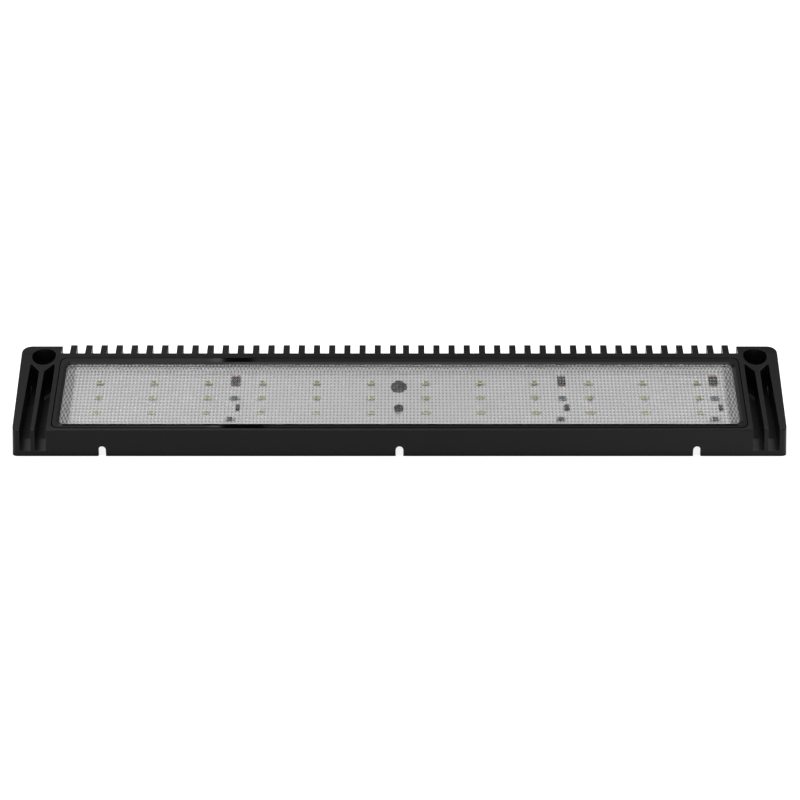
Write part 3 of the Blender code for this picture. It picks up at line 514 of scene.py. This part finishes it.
def white_surface(name, dark, light, roughness, grain, relief):
    finish, tree = start_material(name)
    place = in_lens_plane(tree)
    cloud = add(tree, "ShaderNodeTexNoise", {"Vector": place, "Scale": 1 / WHITE_CLOUD,
                                             "Detail": 3.0})
    colour = add(tree, "ShaderNodeMix", {"Factor": cloud, "A": linear(dark),
                                         "B": linear(light)}, data_type="RGBA")
    fine = add(tree, "ShaderNodeTexNoise", {"Vector": place, "Scale": 1 / grain,
                                            "Detail": 2.0})
    tracks = add(tree, "ShaderNodeTexWave", {"Vector": place, "Scale": 1 / (2 * TRACK_SPACING),
                                             "Distortion": 0.0}, "Fac", bands_direction="Y")
    raised = add(tree, "ShaderNodeMapRange", {"Value": tracks, "From Min": TRACK_EDGE[0],
                                              "From Max": TRACK_EDGE[1]})
    height = add(tree, "ShaderNodeMath", {0: raised, 1: fine}, operation="ADD")
    swell = add(tree, "ShaderNodeBump", {"Height": height, "Strength": relief,
                                         "Distance": WHITE_RELIEF})
    shader = add(tree, "ShaderNodeBsdfPrincipled", {"Base Color": colour, "Normal": swell,
                                                    "Roughness": roughness})
    add(tree, "ShaderNodeOutputMaterial", {"Surface": shader})
    return finish


# the mask is matt and shows the tracks, the plastic is smoother and a shade lighter
# both greys are darker than real white: painted shade from the lens
mask = white_surface("white_solder_mask", "#acacac", "#b5b5b5", 0.5, MASK_GRAIN, 0.5)
frame_plastic = white_surface("white_moulded_abs", "#aeaeae", "#b7b7b7", 0.45, MOULD_GRAIN, 0.1)
dress("led_board", mask)
dress("reflector_frame", frame_plastic)
print("whites:", mask.name, "and", frame_plastic.name)

# %% [markdown]
# ## Finishes of the small parts
#
# An LED that is off shows its phosphor, an olive silicone in a cream package. Round it sit
# black epoxy chips, glazed resistors and brown capacitors. All these small parts share one
# recipe, two close shades in a fine grain that is also a slight relief, and they differ in
# colour, roughness and metal. Real epoxy and ceramic are grained at a few hundredths of a
# millimetre, which no picture of the whole light could show, so the grain here is drawn up
# to ten times as coarse.

# %% Fine-grained finishes
GRAIN_RELIEF = 0.05 * MM
GRAIN_STRENGTH = 0.2
ROUGHNESS_SPREAD = 0.06


def fine_grained(name, dark, light, size, roughness, metallic=0.0):
    """A small part's finish: two shades in a fine grain, with the same grain as relief."""
    finish, tree = start_material(name)
    place = add(tree, "ShaderNodeTexCoord", take="Object")
    grain = add(tree, "ShaderNodeTexNoise", {"Vector": place, "Scale": 1 / size,
                                             "Detail": 3.0})
    colour = add(tree, "ShaderNodeMix", {"Factor": grain, "A": linear(dark),
                                         "B": linear(light)}, data_type="RGBA")
    rough = add(tree, "ShaderNodeMapRange", {"Value": grain,
                                             "To Min": roughness - ROUGHNESS_SPREAD,
                                             "To Max": roughness + ROUGHNESS_SPREAD})
    swell = add(tree, "ShaderNodeBump", {"Height": grain, "Strength": GRAIN_STRENGTH,
                                         "Distance": GRAIN_RELIEF})
    shader = add(tree, "ShaderNodeBsdfPrincipled", {"Base Color": colour, "Roughness": rough,
                                                    "Normal": swell, "Metallic": metallic})
    add(tree, "ShaderNodeOutputMaterial", {"Surface": shader})
    return finish


# smooth moulded package and cured silicone: a pale rim round a dull olive square
package = fine_grained("cream_led_package", "#b5b3a0", "#c1bfab", 0.3 * MM, 0.4)
phosphor = fine_grained("olive_led_phosphor", "#8c875c", "#9d986b", 0.2 * MM, 0.5)
# moulded epoxy stays the darkest thing on the board, glaze is glossier and bluish
epoxy = fine_grained("black_moulded_epoxy", "#060607", "#0c0c0d", 0.3 * MM, 0.5)
glaze = fine_grained("blue_grey_resistor_glaze", "#2f3848", "#3f4a5b", 0.4 * MM, 0.35)
fired = fine_grained("brown_capacitor_ceramic", "#2c2622", "#3a332d", 0.3 * MM, 0.5)
# dipped tin shines softly, bare copper gives the reddish rim round a chip's leads
tin = fine_grained("tinned_copper", "#8f8f8c", "#b0afab", 0.4 * MM, 0.35, metallic=1.0)
copper = fine_grained("bare_copper_pad", "#9c5a3c", "#b87452", 0.5 * MM, 0.4, metallic=1.0)
# poured potting is smooth and dark, rubber and the pad's filler are dull
potting = fine_grained("black_potting_silicone", "#08080a", "#121214", 0.8 * MM, 0.4)
rubber = fine_grained("black_silicone_rubber", "#151516", "#1e1e1f", 0.6 * MM, 0.65)
pad_filler = fine_grained("grey_thermal_pad", "#7b838c", "#8e969f", 0.5 * MM, 0.8)
screw_steel = fine_grained("blackened_steel", "#2b2b2e", "#3d3d41", 0.4 * MM, 0.4, metallic=1.0)
print(len(bpy.data.materials), "materials so far")

# %% [markdown]
# ## Small parts on the board
#
# The CAD solid of an LED has its cup, and those of resistors and capacitors have their tinned
# ends, as faces of their own. The meshes could be split there, but they stay as they are: a
# face only has to know which of two finishes it gets. Where its centre lies within the part's
# box, counted from the middle in shares of the box, says which.

# %% Dress the small parts
CUP_SHARES = (0.36, 0.34)       # half of the LED's cup, along and across
CUP_LEVEL = 0.1                 # and how high in the box it is found
RESISTOR_BODY = 0.355           # half of the glazed body, the rest is tinned
CAPACITOR_BODY = 0.345


def plane_box(node):
    """Lowest and highest corner of a CAD node, measured in the lens plane."""
    points = [TO_PLANE @ v.co for v in nodes[node].data.vertices]
    return (Vector([min(p[k] for p in points) for k in range(3)]),
            Vector([max(p[k] for p in points) for k in range(3)]))


def pick_faces(node, chosen):
    """Give the second finish to faces whose centre, in shares of the box, is chosen."""
    low, high = plane_box(node)
    for face in nodes[node].data.polygons:
        centre = TO_PLANE @ face.center
        share = [(centre[k] - (low[k] + high[k]) / 2) / (high[k] - low[k]) for k in range(3)]
        if chosen(*share):
            face.material_index = 1


for node in nodes:
    if node.startswith("led_r"):
        dress(node, package, phosphor)
        pick_faces(node, lambda x, y, z: (abs(x) < CUP_SHARES[0] and abs(y) < CUP_SHARES[1]
                                          and z > CUP_LEVEL))
    elif node.startswith(("driver_chip", "diode")):
        dress(node, epoxy)
    elif node.startswith("sense_resistor"):
        dress(node, glaze, tin)
        pick_faces(node, lambda x, y, z: abs(x) > RESISTOR_BODY)
    elif node.startswith("capacitor"):
        dress(node, fired, tin)
        pick_faces(node, lambda x, y, z: abs(x) > CAPACITOR_BODY)
dress("potting_seal", potting)
dress("lens_seal", rubber)
dress("wire_grommet", rubber)
dress("thermal_pad", pad_filler)
dress("board_screw", screw_steel)
leds = [node for node in nodes if node.startswith("led_r")]
print(len(leds), "LEDs dressed")

# %% [markdown]
# ## Chip leads
#
# Each driver chip stands on the board on bent tinned leads, and each lead is soldered to a
# bare copper pad that shows reddish round the joint. A lead is a thin strip pressed into a
# gull's wing: flat foot, slope, and flat shoulder that goes into the body. A curve with a
# bevel would make it, but a short profile drawn from the side and swept over the lead's width
# keeps the faces few and the bends crisp. A thin pad with rounded corners lies under it.

# %% Lead and pad shapes
LEAD_BENDS = (1.25, 0.75, 0.62, 0.46, 0.32, 0.02)   # mm out from the body, toe first
BEND_RISE = 0.08 * MM           # how soon a bend leaves the foot, or reaches the shoulder
LEAD_WIDTH = 0.45 * MM
LEAD_THICKNESS = 0.15 * MM
PAD_THICKNESS = 0.04 * MM
PAD_ROUND = 0.2 * MM
ARC_STEPS = 3
board_top = plane_box("led_board")[1].z


def lead_profile(side_y, body_z, outward):
    """The strip's middle line from toe to shoulder, as (y, z)."""
    foot = board_top + PAD_THICKNESS + LEAD_THICKNESS / 2
    heights = (foot, foot, foot + BEND_RISE, body_z - BEND_RISE, body_z, body_z)
    return [(side_y + outward * bend * MM, z) for bend, z in zip(LEAD_BENDS, heights)]


def sweep_strip(points, middle_x, verts, faces):
    """A strip of even thickness along a line of (y, z) points, closed at both ends."""
    start = len(verts)
    for k, (y, z) in enumerate(points):
        before, after = points[max(k - 1, 0)], points[min(k + 1, len(points) - 1)]
        along = Vector((after[0] - before[0], after[1] - before[1])).normalized()
        off = Vector((-along.y, along.x)) * LEAD_THICKNESS / 2
        for side in (-1, 1):
            for face in (-1, 1):
                verts.append((middle_x + side * LEAD_WIDTH / 2, y + face * off.x,
                              z + face * off.y))
    for k in range(len(points) - 1):
        a, b = start + 4 * k, start + 4 * k + 4
        faces += [(a, a + 2, b + 2, b), (a + 1, b + 1, b + 3, a + 3),
                  (a, b, b + 1, a + 1), (a + 2, a + 3, b + 3, b + 2)]
    last = start + 4 * (len(points) - 1)
    faces += [(start, start + 1, start + 3, start + 2), (last, last + 2, last + 3, last + 1)]


def rounded_pad(x, y, size, verts, faces):
    """A thin pad with rounded corners on the board."""
    start = len(verts)
    ring = []
    for turn, (side_x, side_y) in enumerate(((1, 1), (-1, 1), (-1, -1), (1, -1))):
        corner = Vector((x + (size[0] / 2 - PAD_ROUND) * side_x,
                         y + (size[1] / 2 - PAD_ROUND) * side_y))
        for part in range(ARC_STEPS + 1):
            angle = pi / 2 * (turn + part / ARC_STEPS)
            ring.append(corner + PAD_ROUND * Vector((cos(angle), sin(angle))))
    for z in (board_top, board_top + PAD_THICKNESS):
        verts += [(point.x, point.y, z) for point in ring]
    count = len(ring)
    faces += [(start + k, start + (k + 1) % count, start + count + (k + 1) % count,
               start + count + k) for k in range(count)]
    faces += [tuple(start + count + k for k in range(count)),
              tuple(start + k for k in reversed(range(count)))]


print("board's top face is", round(board_top / MM, 2), "mm from the lens plane")

# %% [markdown]
# ## Leads on each chip
#
# Four leads stand on the near side and four on the far side, 1.27 millimetres apart, which is
# the usual pitch of such a package. They could be copies of one lead, each an object of its
# own, but one mesh for each chip keeps the list of pieces short.
# Pads and leads of one chip are one piece with two finishes, so the first faces, those of the
# pads, are counted while they are made.

# %% Leads on each chip
LEADS_PER_SIDE = 4
LEAD_PITCH = 1.27 * MM
LEAD_PAD_SIZE = (0.85 * MM, 2.0 * MM)
LEAD_PAD_OUT = 1.1 * MM         # middle of the pad, out from the body
for number in (1, 2, 3):
    low, high = plane_box(f"driver_chip_{number}")
    verts, faces = [], []
    places = [((low.x + high.x) / 2 + (k - (LEADS_PER_SIDE - 1) / 2) * LEAD_PITCH, side_y,
               outward)
              for k in range(LEADS_PER_SIDE) for side_y, outward in ((low.y, -1), (high.y, 1))]
    for x, side_y, outward in places:
        rounded_pad(x, side_y + outward * LEAD_PAD_OUT, LEAD_PAD_SIZE, verts, faces)
    pad_faces = len(faces)
    for x, side_y, outward in places:
        sweep_strip(lead_profile(side_y, (low.z + high.z) / 2, outward), x, verts, faces)
    leads = mesh_piece(f"chip_leads_{number}", verts, faces, tin)
    leads.data.materials.append(copper)
    for face in leads.data.polygons[:pad_faces]:
        face.material_index = 1
print(2 * LEADS_PER_SIDE, "leads on each of three chips")

# %% [markdown]
# ## Solder pads
#
# Every LED, resistor, diode and capacitor is soldered by its two ends, and each end stands on
# a pad that reaches a little past it. The reflowed tin has a thin coat of yellowed flux. The
# pads could be painted on the board by a mask, but as thin solids they keep their edges and
# their own gloss. One loop over the parts' boxes lays a pad under both ends of each.

# %% Pads under the small parts
PAD_REACH = 0.9 * MM            # how far a pad shows past the part's end
PAD_UNDER = 0.6 * MM            # and how far it runs below it
PAD_SHARE = 0.9                 # its width, as a share of the part's
# dull and yellowish, so that it stays darker than the mask round it
solder = fine_grained("flux_stained_solder", "#82816f", "#9f9e8b", 0.5 * MM, 0.4)


def end_pads(name, parts):
    """One piece with a pad under both ends of each part, along its longer side."""
    verts, faces = [], []
    for part in parts:
        low, high = plane_box(part)
        middle, size = (low + high) / 2, high - low
        axis = 0 if size.x >= size.y else 1
        length, width = PAD_REACH + PAD_UNDER, size[1 - axis] * PAD_SHARE
        shift = size[axis] / 2 + PAD_REACH - length / 2
        for side in (-1, 1):
            place = [middle.x, middle.y]
            place[axis] += side * shift
            rounded_pad(*place, (length, width) if axis == 0 else (width, length), verts, faces)
    print(name, "has", 2 * len(parts), "pads")
    return mesh_piece(name, verts, faces, solder)


end_pads("led_solder_pads", leds)
end_pads("driver_solder_pads",
         [f"{kind}_{number}" for kind in ("sense_resistor", "diode", "capacitor")
          for number in (1, 2, 3)])

# %% [markdown]
# ## Floor
#
# The light lies on white paper on a bright table. More lamps would make any paper white, but
# they would bleach the object too. Light Path tells two kinds of look apart: rays from the
# camera, a mirror or glass see the paper glow, and for all other light it is an ordinary
# floor. Next to the object, Ambient Occlusion darkens the paper's colour and its mirrored glow
# as a painted shadow, and that painted shadow is what darkens the skirt's foot.

# %% Floor
FLOOR_GLOW = 0.90               # the lamps' own light comes on top of it
FLOOR_MIRRORED = 0.34           # what the skirt mirrors on its left half
BRIGHT_SIDE = (0.02, 0.25)      # between these, to the right, that rises
BRIGHT_GAIN = 1.9               # by this factor
FOOT_SHADE = 8 * MM
SHADE_POWER = 3.0               # draws the shade in close to the foot
PAPER_WHITE = "#f2f2f2"
FLOOR_CORNERS = [(-6, -4), (6, -4), (6, 8), (-6, 8)]
FLOOR_Z = -0.1 * MM


def seen_directly(tree, eye, mirrored):
    """One level for camera rays and another for mirror and glass rays, and 0 for others."""
    ray = add(tree, "ShaderNodeLightPath").node.outputs
    shiny = add(tree, "ShaderNodeMath", {0: ray["Is Glossy Ray"], 1: ray["Is Transmission Ray"]},
                operation="MAXIMUM")
    by_eye = add(tree, "ShaderNodeMath", {0: ray["Is Camera Ray"], 1: eye}, operation="MULTIPLY")
    by_mirror = add(tree, "ShaderNodeMath", {0: shiny, 1: mirrored}, operation="MULTIPLY")
    return add(tree, "ShaderNodeMath", {0: by_eye, 1: by_mirror}, operation="MAXIMUM")


paper, tree = start_material("white_paper")
# painted shadow: the paper's colour and mirrored glow darken by Ambient Occlusion near the
# object
sky = add(tree, "ShaderNodeAmbientOcclusion", {"Distance": FOOT_SHADE}, "AO", samples=4)
open_floor = add(tree, "ShaderNodeMath", {0: sky, 1: SHADE_POWER}, operation="POWER")
shade = add(tree, "ShaderNodeMix", {"Factor": open_floor, "A": linear("#000000"),
                                    "B": linear(PAPER_WHITE)}, data_type="RGBA")
diffuse = add(tree, "ShaderNodeBsdfDiffuse", {"Color": shade})
place = add(tree, "ShaderNodeTexCoord", take="Object")
along = add(tree, "ShaderNodeSeparateXYZ", {"Vector": place}, "X")
mirror_level = add(tree, "ShaderNodeMapRange",
                   {"Value": along, "From Min": BRIGHT_SIDE[0], "From Max": BRIGHT_SIDE[1],
                    "To Min": FLOOR_MIRRORED, "To Max": BRIGHT_GAIN * FLOOR_MIRRORED},
                   interpolation_type="SMOOTHSTEP")
mirrored = add(tree, "ShaderNodeMath", {0: open_floor, 1: mirror_level}, operation="MULTIPLY")
glow = add(tree, "ShaderNodeEmission", {"Strength": seen_directly(tree, FLOOR_GLOW, mirrored)})
both = add(tree, "ShaderNodeAddShader", {0: diffuse, 1: glow})
add(tree, "ShaderNodeOutputMaterial", {"Surface": both})
floor_mesh = bpy.data.meshes.new("studio_floor")
floor_mesh.from_pydata([(*corner, FLOOR_Z) for corner in FLOOR_CORNERS], [], [(0, 1, 2, 3)])
floor_mesh.materials.append(paper)
floor = new_object("studio_floor", floor_mesh)
print("floor is", FLOOR_CORNERS[2][0] - FLOOR_CORNERS[0][0], "m wide")

# %% [markdown]
# ## World
#
# A product studio is a white tent. Its light on the object is kept at a plain level, so that
# each colour renders about as it is written, while the eye sees a white backdrop behind it.
# A backdrop of cloth would need lamps of its own, and the world's background needs none.

# %% World
WORLD_LIGHT = 0.28
world = bpy.data.worlds.new("light_tent")
bpy.context.scene.world = world
world.use_nodes = True
tree = world.node_tree
tree.nodes.clear()
level = add(tree, "ShaderNodeMapRange", {"Value": seen_directly(tree, 1.0, 1.0),
                                         "To Min": WORLD_LIGHT, "To Max": 1.0})
sky = add(tree, "ShaderNodeBackground", {"Strength": level})
add(tree, "ShaderNodeOutputWorld", {"Surface": sky})
print("tent lights the object at", WORLD_LIGHT)

# %% [markdown]
# ## Reflection panels
#
# A glossy black object is mostly what it reflects, so a studio hangs dim panels over it: they
# set how light the black looks, and the gap between two of them shows as the crisp dark bar on
# the polished bezel. Nine separate sheets could hang there. One large sheet is easier to tune:
# it glows by where a point lies on it, and it is hidden from the camera and from diffuse rays,
# so it does nothing but mirror.
#
# A panel is a product of soft edges. Each edge names its axis, where it starts and ends, and
# the levels before and after it. The last five panels are named for the faces that mirror
# them. The right half hangs at a slant, so the bar's right end leans.

# %% Reflection ceiling
CEILING_HEIGHT = 1.5
CEILING_CORNERS = [(-2.2, -2.6), (2.2, -2.6), (2.2, 2.6), (-2.2, 2.6)]
SLANT = 0.19
OVER_LIGHT = [("Y", -0.25, -0.15, 0.0, 1.0), ("Y", 1.55, 1.65, 1.0, 0.0)]
BAR_LEFT = ("X", -0.238, -0.232, 1.0, 0.0)
NEAR_BOX = [("Y", -0.15, -0.01, 0.0, 1.0), ("Y", 0.31, 0.45, 1.0, 0.0)]
PANELS = {
    "left half": [("X", -0.47, -0.45, 0.46, 0.62), BAR_LEFT, *OVER_LIGHT],
    "left half, brighter to the middle": [("X", -0.46, -0.26, 0.0, 0.26), BAR_LEFT,
                                          *OVER_LIGHT],
    "bright line beside the bar": [("X", -0.253, -0.241, 0.0, 1.0), BAR_LEFT, *OVER_LIGHT],
    "right half": [("slanted", -0.088, -0.078, 0.0, 0.44), *OVER_LIGHT],
    "bezel's slope beyond the window": [("X", -0.24, -0.20, 1.1, 1.45),
                                        ("Y", -0.60, -0.50, 0.0, 1.0),
                                        ("Y", -0.25, -0.15, 1.0, 0.0)],
    "ramps in the left pockets": [("X", -0.38, -0.33, 2.8, 0.2), *NEAR_BOX],
    "ramps in the right pockets": [("X", 0.33, 0.38, 0.0, 2.6), *NEAR_BOX],
    "far crest of the left end block": [("X", -0.48, -0.38, 0.5, 0.0),
                                        ("Y", 1.57, 1.63, 0.0, 1.0),
                                        ("Y", 1.90, 1.96, 1.0, 0.0)],
    "rims that face the camera": [("X", 0.05, 0.30, 3.9, 1.7), ("Y", -2.40, -2.30, 0.0, 1.0),
                                  ("Y", -1.15, -1.05, 1.0, 0.0)],
}
sheet, tree = start_material("reflection_ceiling")
place = add(tree, "ShaderNodeTexCoord", take="Object")
axes = add(tree, "ShaderNodeSeparateXYZ", {"Vector": place}).node.outputs
slanted = add(tree, "ShaderNodeMath", {0: axes["Y"], 1: SLANT, 2: axes["X"]},
              operation="MULTIPLY_ADD")
measure = {"X": axes["X"], "Y": axes["Y"], "slanted": slanted}
total = 0.0
for edges in PANELS.values():
    level = 1.0
    for axis, start, end, before, after in edges:
        edge = add(tree, "ShaderNodeMapRange",
                   {"Value": measure[axis], "From Min": start, "From Max": end,
                    "To Min": before, "To Max": after}, interpolation_type="SMOOTHSTEP")
        level = add(tree, "ShaderNodeMath", {0: level, 1: edge}, operation="MULTIPLY")
    total = add(tree, "ShaderNodeMath", {0: total, 1: level}, operation="ADD")
glow = add(tree, "ShaderNodeEmission", {"Strength": total})
add(tree, "ShaderNodeOutputMaterial", {"Surface": glow})
ceiling_mesh = bpy.data.meshes.new("reflection_ceiling")
ceiling_mesh.from_pydata([(*corner, CEILING_HEIGHT) for corner in CEILING_CORNERS], [],
                         [(0, 1, 2, 3)])
ceiling_mesh.materials.append(sheet)
ceiling = new_object("reflection_ceiling", ceiling_mesh)
ceiling.visible_camera = False
ceiling.visible_diffuse = False
ceiling.visible_shadow = False
print(len(PANELS), "panels on one sheet")

# %% [markdown]
# ## Key lamp
#
# One broad soft lamp shines almost straight down, as a large softbox would. It comes from
# within the plane across the light, so that the pockets' side walls get none of it and stay
# black, as they are in the photograph. An area lamp would do the same but fall off along the
# light, so a sun with a wide angle is simpler. A sun of strength pi lights a white surface to
# exactly white, and 0.45 of that is a plain level.

# %% Key lamp
KEY_LEVEL = 0.45
KEY_HEIGHT = radians(82.0)
KEY_WIDTH = radians(12.0)
key = bpy.data.lights.new("overhead_key", "SUN")
key.energy = KEY_LEVEL * pi
key.angle = KEY_WIDTH
key_lamp = new_object("overhead_key", key)
key_lamp.rotation_euler = (pi / 2 - KEY_HEIGHT, 0.0, 0.0)
key_lamp.visible_glossy = False
print("key lamp at", round(key.energy, 3))

# %% [markdown]
# ## Camera
#
# The photograph looks down at 22 degrees from straight ahead with a long lens. The camera
# could be turned to catch the light in the frame, but then its upright lines would lean, so
# it looks straight ahead along that slope from a point chosen for the framing. The focal
# length in pixels came from how fast the light's far edge narrows.

# %% Camera
PHOTO_SIDE = 800                # pixels
FOCAL = 2190.0                  # pixels
CAMERA_TILT = radians(22.0)
CAMERA_DISTANCE = 1.2931
LIGHT_BELOW_MIDDLE = 29.5       # pixels from the picture's middle to the lens plane's start
LIGHT_LEFT_OF_MIDDLE = 0.5
camera_data = bpy.data.cameras.new("photo_camera")
camera_data.sensor_width = 36.0
camera_data.lens = FOCAL * camera_data.sensor_width / PHOTO_SIDE
camera_data.shift_x = LIGHT_LEFT_OF_MIDDLE / PHOTO_SIDE
camera = new_object("photo_camera", camera_data)
ahead = Vector((0.0, cos(CAMERA_TILT), -sin(CAMERA_TILT)))
upward = Vector((0.0, sin(CAMERA_TILT), cos(CAMERA_TILT)))
rise = LIGHT_BELOW_MIDDLE * CAMERA_DISTANCE / FOCAL
camera.location = plane_start - ahead * CAMERA_DISTANCE + upward * rise
camera.rotation_euler = (pi / 2 - CAMERA_TILT, 0.0, 0.0)
bpy.context.scene.camera = camera
bpy.context.scene.view_settings.view_transform = "Standard"
print("camera at", [round(v, 4) for v in camera.location])
